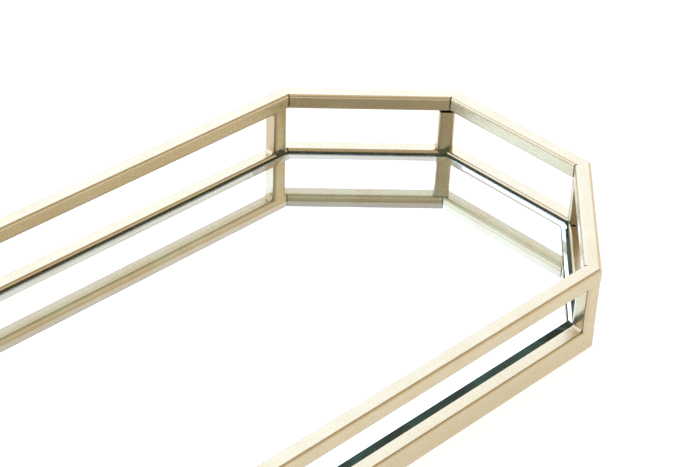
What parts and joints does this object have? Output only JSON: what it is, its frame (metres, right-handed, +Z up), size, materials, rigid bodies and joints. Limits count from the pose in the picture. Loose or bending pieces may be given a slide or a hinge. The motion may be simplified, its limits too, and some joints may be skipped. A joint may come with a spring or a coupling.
{
  "type": "dresser vanity tray",
  "caption": "Low mirrored vanity tray: an elongated octagon of two slim tube rails on posts, with a bevelled mirror plate let into the lower rail.",
  "frame": {"origin": "centre of the footprint, on the surface that the tray stands on", "axes": "+X along the tray's length, +Y across it towards the back long side, +Z up"},
  "size_m": [0.4, 0.205, 0.0439],
  "materials": {
    "frame_metal": "satin champagne gold plating under clear lacquer, fine grain along each tube",
    "weld_metal": "ground weld under the same satin gold",
    "mirror_glass": "clear float glass, faint green, polished bevel",
    "silvering": "silvered, painted behind",
    "foam_tape": "white foam tape",
    "fibreboard": "raw fibreboard",
    "tab_steel": "satin gold plating",
    "screw_steel": "zinc plated",
    "felt": "black pressed felt"
  },
  "bodies": {
    "root": {"top_rail_front_right": "frame_metal", "top_rail_right": "frame_metal", "top_rail_back_right": "frame_metal", "top_rail_back": "frame_metal", "top_rail_back_left": "frame_metal", "top_rail_left": "frame_metal", "top_rail_front_left": "frame_metal", "top_rail_front": "frame_metal", "bottom_rail_front_right": "frame_metal", "bottom_rail_right": "frame_metal", "bottom_rail_back_right": "frame_metal", "bottom_rail_back": "frame_metal", "bottom_rail_back_left": "frame_metal", "bottom_rail_left": "frame_metal", "bottom_rail_front_left": "frame_metal", "bottom_rail_front": "frame_metal", "post_back_right": "frame_metal", "post_back_right_end": "frame_metal", "post_front_right_end": "frame_metal", "post_front_right": "frame_metal", "post_back_left": "frame_metal", "post_back_left_end": "frame_metal", "post_front_left_end": "frame_metal", "post_front_left": "frame_metal", "top_mitre_welds": "weld_metal", "bottom_mitre_welds": "weld_metal", "post_head_welds": "weld_metal", "post_foot_welds": "weld_metal", "mirror_glass": "mirror_glass", "mirror_silvering": "silvering", "mounting_tape": "foam_tape", "base_board": "fibreboard", "support_tabs": "tab_steel", "board_screws": "screw_steel", "felt_lining": "felt"}
  },
  "joints": []
}
